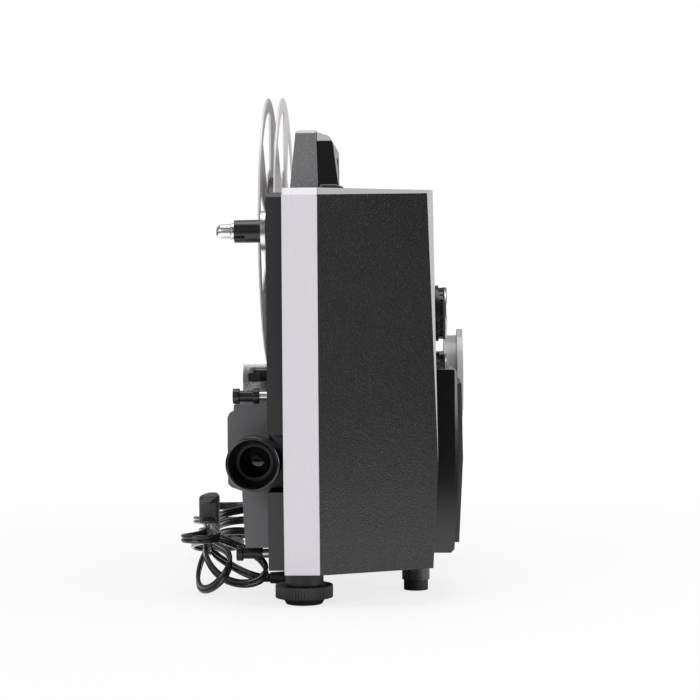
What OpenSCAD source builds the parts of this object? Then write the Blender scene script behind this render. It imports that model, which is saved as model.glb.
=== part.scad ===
// Small-gauge movie projector: lens to the front (-Y), film side to the left (-X), controls to the right.
// The origin is on the floor, under the middle of the front levelling foot. Sizes are millimetres.

/* [Body] */
// Gap between the floor and the chassis
floor_gap = 17.4; // [16.4:0.1:20]
// Height of the chassis band
body_h = 212; // [208:0.2:228]
// Depth from the lens crease to the back
body_d = 245; // [222:1:275]
// Width of the silver chassis band
band_w = 19.6; // [18.6:0.1:23]
// Wall of the folded chassis band
band_wall = 2; // [1.5:0.1:2.6]
// How far the film side cover's outline lies inside the band's
film_inset = 2.4; // [2:0.1:3]
// Depth of the film side cover
film_cover_w = 8.8; // [8.4:0.1:11]
// Width of the right cover at its crease
right_cover_w = 64.8; // [62:0.1:74]
// Wall of the moulded covers
cover_wall = 2.2; // [1.8:0.1:2.8]
// Height of the crease and the lens axis above the chassis base
axis_rise = 61.4; // [60:0.1:64]
// How far the front leans back from the crease to the top
top_rake = 4; // [1:0.5:6]
// How far the front leans back from the crease to the base
base_rake = 3; // [1:0.5:5]
// Bevel along the body's edges
edge = 4; // [2:0.5:5]
// How far the right cover's side leans in towards its top
side_lean_top = 2; // [1:0.2:6]
// How far the right cover's side leans in towards its base
side_lean_base = 3; // [1:0.2:4]
// Draft of the right cover's top
top_draft = 2.2; // [1:0.1:4]
// Draft of the right cover's underside
base_draft = 4; // [2:0.1:5]

/* [Lamp house] */
// How far the lamp house stands out from the right cover
lamp_house_w = 11.6; // [9:0.2:15]
// Height of the lamp house below the crease
lamp_house_down = 52; // [46:1:54]
// Height of the lamp house above the crease
lamp_house_up = 50; // [46:1:60]
// Depth of the lamp house
lamp_house_d = 85; // [76:1:87]
// Thickness of the lamp door
door_t = 2.4; // [1.8:0.1:4]

/* [Handle] */
// Rise of the handle above the chassis band
handle_h = 33; // [29:0.5:41]
// Length of the handle
handle_l = 176; // [150:1:190]
// Length of each handle post
post_l = 21; // [18:0.5:28]
// Thickness of the grip over the finger gap
grip_t = 13; // [10:0.5:16]

/* [Lens] */
// Distance of the lens axis from the film cover's face
lens_offset = 7.8; // [7.4:0.1:9]
// Radius of the lens barrel
barrel_r = 11; // [10:0.1:11.6]
// Radius of the lens hood
hood_r = 14.8; // [14:0.1:15.2]
// Length of the lens hood
hood_l = 20; // [16:0.5:26]
// Depth of the grey lens housing
housing_d = 85; // [80:1:92]
// Distance of the housing behind the crease
housing_setback = 25; // [24:0.5:30]

/* [Spindles] */
// Radius of the reel spindle's sleeve
spindle_r = 6.35; // [6.3:0.01:6.4]
// Radius of the spindle shafts
shaft_r = 4; // [3.4:0.1:4.4]
// Distance of the back spindle from the back
takeup_setback = 39; // [34:0.5:44]
// Distance of the spindles below the top
spindle_drop = 23; // [21:0.5:28]
// How much higher the back spindle stands than the front one
takeup_rise = 3.6; // [0:0.1:4]
// Radius of the reel
reel_r = 89; // [80:0.5:89]
// Radius of the wound film on the reel
film_r = 38; // [32:0.5:60]
// Space between the reel's flanges
reel_gap = 8.2; // [8:0.1:8.8]

/* [Controls] */
// Radius of the speed knob
speed_knob_r = 17; // [12:0.5:17]
// Radius of the framing knob
framing_knob_r = 12; // [9:0.5:13]
// Radius of the function dial's rim
dial_r = 28; // [22:0.5:29]
// Radius of the control shafts
control_shaft_r = 3; // [2.5:0.1:3.5]

/* [Levelling foot] */
// Distance from the crease back to the foot's middle
foot_setback = 18; // [17:0.5:21]
// Radius of the knurled wheel
wheel_r = 16; // [14:0.5:18]
// Height of the knurled wheel
wheel_h = 6.8; // [6:0.1:7.4]
// Radius of the threaded stem
stem_r = 4; // [3.5:0.1:4.4]
// Thickness of the rubber pad
pad_h = 3.4; // [2.8:0.1:3.8]

/* [Mains lead] */
// Width of the flat twin lead
lead_w = 5; // [4.6:0.1:5.2]
// Thickness of the flat twin lead
lead_t = 2.6; // [2.2:0.1:2.8]

/* [Hidden] */
$fn = 64;

// Fits: a running fit, a drilled clearance, and the air between separate bodies
run_fit = 0.04;
drill_gap = 0.3;
air = 0.3;

// Main planes of the body
y_front = -foot_setback;
y_back = y_front + body_d;
z_base = floor_gap;
z_top = z_base + body_h;
axis_z = z_base + axis_rise;
band_l = -band_w / 2;
band_r = band_w / 2;
film_face = band_l - film_cover_w;
cover_x = band_r + right_cover_w;
bevel_inset = 0.4142;

// Puts a (Y, Z) drawing between two X planes
module along_x(x0, x1) {
    translate([x0, 0, 0]) rotate([90, 0, 90]) linear_extrude(x1 - x0) children();
}

// Puts an (X, Z) drawing between two Y planes
module along_y(y0, y1) {
    translate([0, y1, 0]) rotate([90, 0, 0]) linear_extrude(y1 - y0) children();
}

// Puts an (X, Y) drawing between two Z planes
module along_z(z0, z1) {
    translate([0, 0, z0]) linear_extrude(z1 - z0) children();
}

module rod_x(y, z, r, x0, x1) {
    translate([x0, y, z]) rotate([0, 90, 0]) cylinder(r = r, h = x1 - x0);
}

module rod_y(x, z, r, y0, y1) {
    translate([x, y0, z]) rotate([-90, 0, 0]) cylinder(r = r, h = y1 - y0);
}

// A box between two corners
module box(a, b) {
    translate(a) cube(b - a);
}

// Side profile of the body, moved in by t: a front creased at the lens axis, with bevelled edges
function side_profile(t) = [
    [y_front + t, axis_z],
    [y_front + top_rake + t, z_top - edge - bevel_inset * t],
    [y_front + top_rake + edge + bevel_inset * t, z_top - t],
    [y_back - edge - bevel_inset * t, z_top - t],
    [y_back - t, z_top - edge - bevel_inset * t],
    [y_back - t, z_base + edge + bevel_inset * t],
    [y_back - edge - bevel_inset * t, z_base + t],
    [y_front + base_rake + t, z_base + t]
];

// Front outline of the right cover, moved in by t, from the plane x = left
function cover_outline(t, left) = [
    [left, z_base + t],
    [cover_x - side_lean_base - t, z_base + base_draft + t],
    [cover_x - t, axis_z],
    [cover_x - side_lean_top - t, z_top - top_draft - t],
    [left, z_top - t]
];

// The right cover's side face at height z
function side_x(z) = z > axis_z
    ? cover_x - (z - axis_z) * side_lean_top / (z_top - top_draft - axis_z)
    : cover_x - (axis_z - z) * side_lean_base / (axis_z - z_base - base_draft);

// Places along the film path and the light path, with runs back from the crease
supply_run = 24;
beam_run = 93;
main_run = 130;
supply_y = y_front + supply_run;
takeup_y = y_back - takeup_setback;
spindle_z = z_top - spindle_drop;
takeup_z = spindle_z + takeup_rise;
beam_y = y_front + beam_run;
beam_r = 9;
main_y = y_front + main_run;
lens_x = film_face - lens_offset;

// Chassis plate and mechanism plate, both parallel to the film
plate_t = 3;
plate_x = band_l;
plate_in = plate_x + plate_t;
mech_gap = 12.2;
mech_x = band_r + mech_gap;
mech_t = 2;
mech_out = mech_x + mech_t;
mech_run = 60;
mech_setback = 19;
mech_rise = 10;
mech_h = 166;
mech_y0 = y_front + mech_run;
mech_y1 = y_back - mech_setback;
mech_z0 = z_base + mech_rise;
mech_z1 = mech_z0 + mech_h;
post_r = 4;
post_in = 8;
post_h = 108;
post_yz = [
    for (y = [mech_y0 + post_in, mech_y1 - post_in])
        for (z = [mech_z0 + post_in, mech_z0 + post_in + post_h]) [y, z]
];

// Motor, fan and belts
motor_run = 53;
motor_drop = 18;
motor_y = main_y + motor_run;
motor_z = axis_z - motor_drop;
motor_r = 21;
motor_l = 34;
rotor_r = 2.5;
belt_t = 1.6;
belt_w = 3.2;
main_shaft_r = 4;
main_big_r = 28;
main_small_r = 9;
motor_pulley_r = 7;
takeup_pulley_r = 12;
pulley_w = 4;
takeup_belt_x = band_r + 0.8;
drive_belt_x = takeup_belt_x + pulley_w + 0.8;

// Screws that hold the film side cover to the chassis plate
screw_r = 1.5;
screw_head_r = 3.4;
screw_head_t = 1.2;
screw_in = 12;
screw_yz = [
    [y_back - screw_in, z_base + screw_in + 2],
    [y_back - screw_in, z_top - screw_in - 2],
    [y_front + 70, z_top - screw_in],
    [main_y + 2, z_base + screw_in]
];

// Folded aluminium band round the chassis
module trim_band() {
    color([0.84, 0.83, 0.85])
    difference() {
        along_x(band_l, band_r) polygon(side_profile(0));
        along_x(band_l - 1, band_r + 1) polygon(side_profile(band_wall));
        translate([0, 0, z_base - 1]) cylinder(r = bush_r + run_fit, h = band_wall + 2);
    }
}

// Cast plate that carries the mechanism
module chassis_plate() {
    color([0.5, 0.5, 0.52])
    difference() {
        union() {
            along_x(plate_x, plate_in) polygon(side_profile(band_wall));
            rod_x(claw_pin_y, claw_pin_z, claw_pin_r, claw_x0 - 1, plate_x + 1);
            for (p = post_yz) {
                rod_x(p[0], p[1], post_r, plate_in - 1, mech_x);
            }
        }
        rod_x(supply_y, spindle_z, shaft_r + run_fit, plate_x - 1, plate_in + 1);
        rod_x(takeup_y, takeup_z, shaft_r + run_fit, plate_x - 1, plate_in + 1);
        rod_x(main_y, axis_z, main_shaft_r + run_fit, plate_x - 1, plate_in + 1);
        rod_x(beam_y, axis_z, beam_r + 1, plate_x - 1, plate_in + 1);
        for (p = screw_yz) {
            rod_x(p[0], p[1], screw_r + run_fit, plate_x - 1, plate_in + 1);
        }
    }
}

// Film cover outline seen from the front, with its outer top edge rounded
film_corner_r = 4;
module film_outline() {
    corner_z = z_top - film_inset - film_corner_r;
    difference() {
        translate([film_face, z_base]) square([film_cover_w, body_h - film_inset]);
        difference() {
            translate([film_face - 1, corner_z]) square([film_corner_r + 1, film_corner_r + 1]);
            translate([film_face + film_corner_r, corner_z]) circle(film_corner_r);
        }
    }
}

// Notch that lets the lens sit close to the chassis
notch_half = hood_r + 1;
notch_y1 = y_front + housing_setback + 45;

module film_side_cover() {
    color([0.17, 0.17, 0.18])
    difference() {
        intersection() {
            along_x(film_face, band_l) polygon(side_profile(film_inset));
            along_y(y_front - 1, y_back + 1) film_outline();
        }
        along_x(film_face + cover_wall, band_l + 1) polygon(side_profile(film_inset + cover_wall));
        box([film_face - 1, y_front - 1, axis_z - notch_half], [band_l + 1, notch_y1, axis_z + notch_half]);
        rod_x(supply_y, spindle_z, shaft_r + drill_gap, film_face - 1, band_l);
        rod_x(takeup_y, takeup_z, shaft_r + drill_gap, film_face - 1, band_l);
        rod_x(beam_y, axis_z, beam_r + 1, film_face - 1, band_l);
        box([film_face - 1, claw_tip_y - 3, claw_z - 5],
            [film_face + cover_wall + 1, claw_tip_y + 3, claw_z + 5]);
        for (p = roller_yz) {
            rod_x(p[0], p[1], roller_pin_r, film_face - 1, film_face + cover_wall + 1);
        }
        rod_x(lever_y, lever_z, lever_pin_r, film_face - 1, film_face + cover_wall + 1);
        for (p = screw_yz) {
            rod_x(p[0], p[1], screw_r + run_fit, film_face - 1, film_face + cover_wall + 1);
        }
    }
}

module cover_screws() {
    color([0.55, 0.55, 0.57])
    for (p = screw_yz) {
        difference() {
            union() {
                rod_x(p[0], p[1], screw_head_r, film_face - screw_head_t, film_face);
                rod_x(p[0], p[1], screw_r, film_face - 0.1, plate_in);
            }
            box([film_face - screw_head_t - 1, p[0] - screw_head_r, p[1] - 0.5],
                [film_face - screw_head_t / 2, p[0] + screw_head_r, p[1] + 0.5]);
        }
    }
}

// Right cover, a drafted tub with bosses for two feet and slots for the fan's air
module cover_block(t, left) {
    intersection() {
        along_x(left, cover_x + 1) polygon(side_profile(t));
        along_y(y_front - 1, y_back + 1) polygon(cover_outline(t, left));
    }
}

// Bevel of the front right edge, which fades out at the crease
bevel_tilt = 2.5;
module front_bevel() {
    translate([cover_x, y_front, axis_z]) rotate([0, 0, -45]) rotate([0, -bevel_tilt, 0])
        translate([0, -40, 0]) cube([40, 80, body_h]);
}

foot_rubber_h = 6;
foot_rubber_r = 7;
right_foot_x = cover_x - 13;
right_feet_y = [y_front + 68, y_back - 22];
back_slots = 9;
slot_pitch = 9;
slot_h = 3.2;

module right_cover() {
    color([0.12, 0.12, 0.125])
    difference() {
        union() {
            difference() {
                cover_block(0, band_r);
                cover_block(cover_wall, band_r - 1);
                front_bevel();
            }
            intersection() {
                for (y = right_feet_y) {
                    translate([right_foot_x, y, foot_rubber_h])
                        cylinder(r = foot_rubber_r + 1, h = floor_gap);
                }
                along_y(y_front, y_back) polygon([
                    [band_r, 0],
                    [cover_x, 0],
                    [cover_x, z_base + base_draft + cover_wall],
                    [band_r, z_base + cover_wall / 2]
                ]);
            }
        }
        for (k = [0 : back_slots - 1]) {
            box([band_r + 12, y_back - cover_wall - 1, axis_z - 30 + k * slot_pitch],
                [cover_x - 14, y_back + 1, axis_z - 30 + k * slot_pitch + slot_h]);
        }
        box([cover_x - 12, lamp_y0 + 8, axis_z - lamp_house_down + 12],
            [cover_x + 2, lamp_y1 - 8, axis_z + lamp_house_up - 12]);
        for (c = control_yz) {
            rod_x(c[0], c[1], control_bush_r, cover_x - 16, cover_x + 2);
        }
    }
}

// Lamp house on the right cover, with the same crease, open towards the lamp
lamp_y0 = y_front + 25;
lamp_y1 = lamp_y0 + lamp_house_d;
lamp_z0 = axis_z - lamp_house_down;
lamp_z1 = axis_z + lamp_house_up;
lamp_edge = 2;
function lamp_out(z) = side_x(z) + lamp_house_w;
function lamp_outline(t, reach) = [
    [side_x(lamp_z0) + reach, lamp_z0 + t],
    [lamp_out(lamp_z0) - lamp_edge - bevel_inset * t, lamp_z0 + t],
    [lamp_out(lamp_z0) - t, lamp_z0 + lamp_edge + bevel_inset * t],
    [lamp_out(axis_z) - t, axis_z],
    [lamp_out(lamp_z1) - t, lamp_z1 - lamp_edge - bevel_inset * t],
    [lamp_out(lamp_z1) - lamp_edge - bevel_inset * t, lamp_z1 - t],
    [side_x(lamp_z1) + reach, lamp_z1 - t],
    [cover_x + reach, axis_z]
];
function lamp_plan(t) = [
    [cover_x - 20, lamp_y0 + t],
    [cover_x + lamp_house_w - lamp_edge - bevel_inset * t, lamp_y0 + t],
    [cover_x + lamp_house_w - t + 0.01, lamp_y0 + lamp_edge + bevel_inset * t],
    [cover_x + lamp_house_w - t + 0.01, lamp_y1 - lamp_edge - bevel_inset * t],
    [cover_x + lamp_house_w - lamp_edge - bevel_inset * t, lamp_y1 - t],
    [cover_x - 20, lamp_y1 - t]
];
module lamp_block(t, reach) {
    intersection() {
        along_y(lamp_y0 - 1, lamp_y1 + 1) polygon(lamp_outline(t, reach));
        along_z(lamp_z0 - 1, lamp_z1 + 1) polygon(lamp_plan(t));
    }
}

lamp_slots = 6;
lamp_slot_pitch = 11;
door_y0 = lamp_y0 + 7;
door_y1 = lamp_y1 - 7;
door_z0 = lamp_z0 + 5;
door_z1 = lamp_z1 - 8;
door_pin_r = 2;
door_pin_l = 6;
door_pin_z = [door_z0 + 10, door_z1 - 10];
door_pin_y = (door_y0 + door_y1) / 2;

module lamp_house_cover() {
    color([0.1, 0.1, 0.105])
    difference() {
        lamp_block(0, 0);
        lamp_block(cover_wall, -6);
        for (k = [0 : lamp_slots - 1]) {
            box([cover_x, lamp_y0 + 13 + k * lamp_slot_pitch, lamp_z1 - cover_wall - 3],
                [cover_x + lamp_house_w - 5, lamp_y0 + 17 + k * lamp_slot_pitch, lamp_z1 + 1]);
        }
        for (k = [0 : door_slots - 1]) {
            box([cover_x + 4, door_y0 + 16, door_z0 + 18 + k * door_slot_pitch],
                [cover_x + lamp_house_w + 3, door_y1 - 16, door_z0 + 18 + k * door_slot_pitch + slot_h]);
        }
        for (z = door_pin_z) {
            rod_x(door_pin_y, z, door_pin_r + run_fit, cover_x, cover_x + lamp_house_w + 2);
        }
    }
}

// Lamp door, a creased plate with louvres and two spigots
door_slots = 6;
door_slot_pitch = 9;
door_gap = 0.1;
module lamp_door() {
    color([0.2, 0.2, 0.21])
    difference() {
        union() {
            along_y(door_y0, door_y1) polygon([
                [lamp_out(door_z0) + door_gap, door_z0],
                [lamp_out(door_z0) + door_gap + door_t, door_z0],
                [lamp_out(axis_z) + door_gap + door_t, axis_z],
                [lamp_out(door_z1) + door_gap + door_t, door_z1],
                [lamp_out(door_z1) + door_gap, door_z1],
                [lamp_out(axis_z) + door_gap, axis_z]
            ]);
            for (z = door_pin_z) {
                pin_end = lamp_out(z) + door_t / 2 + door_gap;
                rod_x(door_pin_y, z, door_pin_r, lamp_out(z) - door_pin_l, pin_end);
            }
        }
        for (k = [0 : door_slots - 1]) {
            box([cover_x + 4, door_y0 + 14, door_z0 + 18 + k * door_slot_pitch],
                [cover_x + lamp_house_w + 6, door_y1 - 14, door_z0 + 18 + k * door_slot_pitch + slot_h]);
        }
    }
}

// Inner plate on four posts, which carries the motor, the lamp and the transformer
module mechanism_plate() {
    color([0.66, 0.66, 0.62])
    difference() {
        along_x(mech_x, mech_out) polygon([
            [mech_y0, mech_z0], [mech_y1, mech_z0], [mech_y1, mech_z1],
            [mech_y0 + 70, mech_z1], [mech_y0, mech_z1 - 40]
        ]);
        rod_x(beam_y, axis_z, beam_r + 4, mech_x - 1, mech_out + 1);
        rod_x(main_y, axis_z, main_shaft_r + run_fit, mech_x - 1, mech_out + 1);
        rod_x(motor_y, motor_z, rotor_r + 4, mech_x - 1, mech_out + 1);
    }
}

// Handle: a smooth black core on a low mound and a grained grip half, bridging a finger gap
mound_h = 2.4;
handle_y0 = y_front + 25;
handle_y1 = handle_y0 + handle_l;
handle_z = z_top + handle_h;
grip_l = band_l + 3.2;
grip_r = band_r - 0.6;
grip_taper = 1.1;
core_r = band_r + 10.8;
cover_fall = top_draft / (right_cover_w - side_lean_top);

// The grip's right side, which the core lies against, at height z
function split_x(z) = grip_r - grip_taper * (z - z_top) / handle_h;

module handle_plinth() {
    mound_w = 15;
    color([0.3, 0.3, 0.305])
    along_y(handle_y0 - 6, handle_y1 + 6) polygon([
        [band_r + 0.4, z_top - 0.4 * cover_fall],
        [band_r + mound_w, z_top - mound_w * cover_fall],
        [band_r + mound_w - 2.4, z_top + mound_h * 0.6],
        [band_r + mound_w - 6, z_top + mound_h],
        [band_r + 0.4, z_top + mound_h]
    ]);
}

// The arch seen from the side, with its top corners cut by round
module handle_arch(y0, y1, base, round) {
    gap_z = handle_z - grip_t;
    lean = 2;
    bend = 4;
    difference() {
        polygon([
            [y0, base], [y0 + lean, handle_z - round], [y0 + lean + round, handle_z],
            [y1 - lean - round, handle_z], [y1 - lean, handle_z - round], [y1, base]
        ]);
        polygon([
            [handle_y0 + post_l, base - 1], [handle_y0 + post_l + bend, gap_z - bend],
            [handle_y0 + post_l + 2 * bend, gap_z], [handle_y1 - post_l - 2 * bend, gap_z],
            [handle_y1 - post_l - bend, gap_z - bend], [handle_y1 - post_l, base - 1]
        ]);
    }
}

module handle_grip() {
    color([0.36, 0.36, 0.37])
    intersection() {
        along_x(grip_l - 1, band_r + 2) handle_arch(handle_y0, handle_y1, z_top, 1.6);
        along_y(handle_y0 - 1, handle_y1 + 1) polygon([
            [grip_l, z_top], [split_x(z_top), z_top], [split_x(handle_z), handle_z],
            [grip_l + 3.4 + 1, handle_z], [grip_l + 3.4 - 0.1, handle_z - 1]
        ]);
    }
}

module handle_core() {
    core_lean = 2.4;
    core_taper = 0.042 * handle_l;
    base = z_top + mound_h;
    color([0.09, 0.09, 0.095])
    intersection() {
        along_x(band_l, band_r + 20) handle_arch(handle_y0 + 1, handle_y1 - 1, base, 6);
        along_y(handle_y0 - 1, handle_y1 + 1) polygon([
            [split_x(base), base],
            [core_r, base],
            for (a = [0 : 15 : 90])
                [core_r - core_lean - 6 + 6 * cos(a), handle_z - 12 + 10 * sin(a)],
            [split_x(handle_z - 0.4), handle_z - 0.4]
        ]);
        along_z(z_top, handle_z + 1) polygon([
            [band_l, handle_y0], [core_r, handle_y0], [core_r - core_taper, handle_y1], [band_l, handle_y1]
        ]);
    }
}

// Rubber feet: two under the right cover's bosses and one under the back of the chassis
module rubber_feet() {
    color([0.06, 0.06, 0.06]) {
        for (y = right_feet_y) {
            translate([right_foot_x, y, 0]) cylinder(r = foot_rubber_r, h = foot_rubber_h);
        }
        translate([0, right_feet_y[1], 0]) cylinder(r = foot_rubber_r, h = z_base);
    }
}

// Levelling foot: a fixed threaded bush, a knurled wheel, a stem and its rubber pad
bush_r = 6;
bush_l = 25;
collar_r = 10.3;
wheel_z0 = pad_h + 0.2;
wheel_z1 = wheel_z0 + wheel_h;
stem_l = 42;
wheel_teeth = 60;
tooth_h = 0.5;

module foot_bush() {
    color([0.1, 0.1, 0.1])
    difference() {
        union() {
            translate([0, 0, wheel_z1 + 0.1]) cylinder(r = collar_r, h = z_base - wheel_z1 - 0.1);
            translate([0, 0, z_base - 0.1]) cylinder(r = bush_r, h = bush_l);
        }
        cylinder(r = stem_r + run_fit, h = z_base + bush_l + 1);
    }
}

module foot_wheel() {
    color([0.12, 0.12, 0.12])
    difference() {
        along_z(wheel_z0, wheel_z1) polygon([
            for (k = [0 : 2 * wheel_teeth - 1])
                let (r = wheel_r - (k % 2) * tooth_h)
                r * [cos(180 * k / wheel_teeth), sin(180 * k / wheel_teeth)]
        ]);
        translate([0, 0, wheel_z0 - 1]) cylinder(r = stem_r + run_fit, h = wheel_h + 2);
    }
}

module foot_stem() {
    color([0.7, 0.7, 0.72])
    translate([0, 0, 1]) cylinder(r = stem_r, h = stem_l);
}

module foot_pad() {
    color([0.08, 0.08, 0.08])
    difference() {
        cylinder(r1 = stem_r + 6, r2 = stem_r + 8, h = pad_h);
        translate([0, 0, 1]) cylinder(r = stem_r, h = pad_h);
    }
}

// Grey lens housing: a front block that guides the barrel, and a hollow back over the gate and mirror
housing_y0 = y_front + housing_setback;
housing_y1 = housing_y0 + housing_d;
housing_l = lens_x - 16.2;
housing_top = axis_z + 31;
housing_base = axis_z - 49;
housing_seat = film_face - 0.1;
block_l = 20;
tongue_x = lens_x + barrel_r + 3.4;
focus_in = 1.5;
collar_l = 5;

function housing_outline(t, right) = [
    [right, housing_base + t],
    [housing_l + 9.4 + t, housing_base + t],
    [housing_l + 7.8 + t, axis_z - 17 - t],
    [housing_l + 2 + t, axis_z - 15 + t],
    [housing_l + t, axis_z - 13 + t],
    [housing_l + t, housing_top - 7 - t],
    [housing_l + 1.2 + t, housing_top - 4.4 - t],
    [housing_l + 3.6 + t, housing_top - 3 - t],
    [housing_l + 3.6 + t, housing_top - t],
    [right, housing_top - t]
];

module lens_housing() {
    color([0.37, 0.37, 0.38])
    difference() {
        union() {
            along_y(housing_y0, housing_y1) polygon(housing_outline(0, housing_seat));
            box([housing_seat - 1, housing_y0, axis_z - notch_half + 0.4],
                [tongue_x, notch_y1 - 2, axis_z + notch_half - 0.4]);
            intersection() {
                rod_y(lens_x, axis_z, hood_r + 1.2, housing_y0 - collar_l, housing_y0 + 1);
                box([housing_l - 5, y_front - 5, housing_base], [housing_seat, housing_y1, housing_top]);
            }
        }
        along_y(housing_y0 + block_l, housing_y1 - cover_wall)
            polygon(housing_outline(cover_wall, housing_seat + 30));
        rod_y(lens_x, axis_z, barrel_r + run_fit, housing_y0 - collar_l - 1, housing_y0 + block_l + 1);
    }
}

// Lens: a barrel that slides in the housing, a hood that turns on it, and two glass elements
hood_back = housing_y0 - collar_l - focus_in - air;
hood_front = hood_back - hood_l;
hood_seat_l = 5;
barrel_y0 = hood_back - hood_seat_l;
barrel_l = 44;
barrel_wall = 2.4;
glass_r = barrel_r - barrel_wall;

module lens_barrel() {
    color([0.15, 0.15, 0.155])
    difference() {
        rod_y(lens_x, axis_z, barrel_r, barrel_y0, barrel_y0 + barrel_l);
        rod_y(lens_x, axis_z, glass_r, barrel_y0 - 1, barrel_y0 + barrel_l + 1);
    }
}

module lens_hood() {
    color([0.05, 0.05, 0.055])
    translate([lens_x, hood_front, axis_z]) rotate([-90, 0, 0])
    rotate_extrude() polygon([
        [hood_r - 1.4, 0],
        [hood_r - 0.5, 0],
        [hood_r, 0.5],
        [hood_r, hood_l],
        [barrel_r + run_fit, hood_l],
        [barrel_r + run_fit, hood_l - hood_seat_l],
        [barrel_r - 0.8, hood_l - hood_seat_l],
        [barrel_r - 0.8, hood_l - hood_seat_l - 1]
    ]);
}

element_t = 4;
glass_in = 13;
module lens_elements() {
    bulge = 1.6;
    color([0.75, 0.8, 0.9])
    for (y = [barrel_y0 + glass_in, barrel_y0 + barrel_l - element_t - 3]) {
        translate([lens_x, y, axis_z]) rotate([-90, 0, 0])
        rotate_extrude() polygon([
            [0, -bulge],
            for (k = [1 : 6]) [glass_r * k / 6, -bulge * (1 - pow(k / 6, 2))],
            for (k = [6 : -1 : 1]) [glass_r * k / 6, element_t + bulge * (1 - pow(k / 6, 2))],
            [0, element_t + bulge]
        ]);
    }
}

// Film gate behind the lens: fixed aperture plate, sprung pressure plate and its leaf
gate_y = notch_y1 + 1;
gate_t = 1.4;
gate_half = 13;
gate_l = lens_x - 10;
film_slot = 0.5;
frame_w = 5.4;
frame_h = 4;
pressure_y = gate_y + gate_t + film_slot;
pressure_travel = 0.9;
leaf_y = pressure_y + gate_t + pressure_travel + air;
leaf_t = 0.5;

module gate_frame(y0, y1, half_z, right) {
    difference() {
        box([gate_l, y0, axis_z - half_z], [right, y1, axis_z + half_z]);
        box([lens_x - frame_w / 2, y0 - 1, axis_z - frame_h / 2],
            [lens_x + frame_w / 2, y1 + 1, axis_z + frame_h / 2]);
    }
}

module gate_plate() {
    color([0.72, 0.72, 0.74])
    gate_frame(gate_y, gate_y + gate_t, gate_half, film_face);
}

module pressure_plate() {
    color([0.66, 0.66, 0.68])
    difference() {
        gate_frame(pressure_y, pressure_y + gate_t, gate_half - 2, film_face - air);
        box([lens_x + frame_w / 2 + 1, pressure_y - 1, claw_z - 4],
            [lens_x + frame_w / 2 + 4, pressure_y + gate_t + 1, claw_z + 4]);
    }
}

module pressure_spring() {
    color([0.78, 0.76, 0.7])
    difference() {
        box([gate_l, leaf_y, axis_z - gate_half + 1], [film_face, leaf_y + leaf_t, axis_z + gate_half]);
        rod_y(lens_x, axis_z, 4.5, leaf_y - 1, leaf_y + leaf_t + 1);
        box([lens_x + frame_w / 2, leaf_y - 1, claw_z - 8],
            [film_face + 1, leaf_y + leaf_t + 1, claw_z + 5]);
    }
}

// Claw: an arm behind the film cover that pulls the film down, guided by a pin on the chassis plate
claw_travel = 2.1;
claw_t = 1.6;
claw_x0 = plate_x - 0.4 - claw_t;
claw_z = axis_z - 6;
claw_tip_y = leaf_y + leaf_t + 3;
claw_pin_y = main_y - 22;
claw_pin_z = claw_z;
claw_pin_r = 2;
claw_slot = claw_pin_r + claw_travel + air;

module claw() {
    color([0.6, 0.58, 0.52])
    difference() {
        union() {
            box([claw_x0, claw_tip_y - 1, claw_z - 4], [claw_x0 + claw_t, main_y - 14, claw_z + 4]);
            box([lens_x + frame_w / 2 + 1.6, claw_tip_y - 1, claw_z - 2],
                [claw_x0 + 0.1, claw_tip_y + 1, claw_z + 2]);
            box([lens_x + frame_w / 2 + 1.6, gate_y + gate_t + 0.2, claw_z - 0.5],
                [lens_x + frame_w / 2 + 2.6, claw_tip_y, claw_z + 0.5]);
        }
        box([claw_x0 - 1, claw_pin_y - claw_pin_r - run_fit, claw_z - claw_slot],
            [claw_x0 + claw_t + 1, claw_pin_y + claw_pin_r + run_fit, claw_z + claw_slot]);
    }
}

// Mirror block that turns the lamp's beam forward into the gate
module mirror() {
    mirror_l = housing_l + 7.8 + cover_wall + 0.2;
    mirror_back = housing_y1 - cover_wall - 0.2;
    mirror_r = film_face - 0.8;
    color([0.8, 0.83, 0.86])
    along_z(axis_z - 12, axis_z + 12) polygon([
        [mirror_l, beam_y + mirror_l - lens_x],
        [mirror_r, beam_y + mirror_r - lens_x],
        [mirror_r, mirror_back],
        [mirror_l, mirror_back]
    ]);
}

// Spindles: a steel shaft with a disc and a bright nose, and a keyed black sleeve
disc_r = 11.3;
disc_t = 2.6;
disc_x = film_face - 3.6;
sleeve_l = 15.2;
sleeve_x = disc_x - sleeve_l;
tip_l = 10;
tip_r = 4;
key_w = 2;
key_l = 6;
shaft_end = takeup_belt_x + pulley_w + 0.6;

module spindle_shaft(y, z, end) {
    color([0.78, 0.78, 0.8]) {
        rod_x(y, z, shaft_r, sleeve_x - 0.1, end);
        rod_x(y, z, disc_r, disc_x, disc_x + disc_t);
        spindle_nose(y, z);
    }
}

module spindle_sleeve(y, z) {
    color([0.06, 0.06, 0.065])
    difference() {
        rod_x(y, z, spindle_r, sleeve_x, disc_x);
        rod_x(y, z, shaft_r, sleeve_x - 1, disc_x + 1);
        for (a = [0, 120, 240]) {
            translate([sleeve_x - 1, y, z]) rotate([a, 0, 0])
                translate([0, -key_w / 2, shaft_r + 0.6]) cube([key_l + 1, key_w, spindle_r]);
        }
    }
}

module spindle_nose(y, z) {
    translate([sleeve_x, y, z]) rotate([0, -90, 0])
    rotate_extrude() polygon([
        [0, 0], [tip_r + 0.6, 0], [tip_r + 0.6, 1.4], [tip_r, 2], [tip_r, tip_l - 2.6],
        [tip_r - 0.7, tip_l - 0.9], [tip_r - 2, tip_l], [0, tip_l]
    ]);
}

module supply_shaft() {
    spindle_shaft(supply_y, spindle_z, band_r - 2);
}

module supply_sleeve() {
    spindle_sleeve(supply_y, spindle_z);
}

module takeup_shaft() {
    spindle_shaft(takeup_y, takeup_z, shaft_end);
}

module takeup_sleeve() {
    spindle_sleeve(takeup_y, takeup_z);
}

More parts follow.
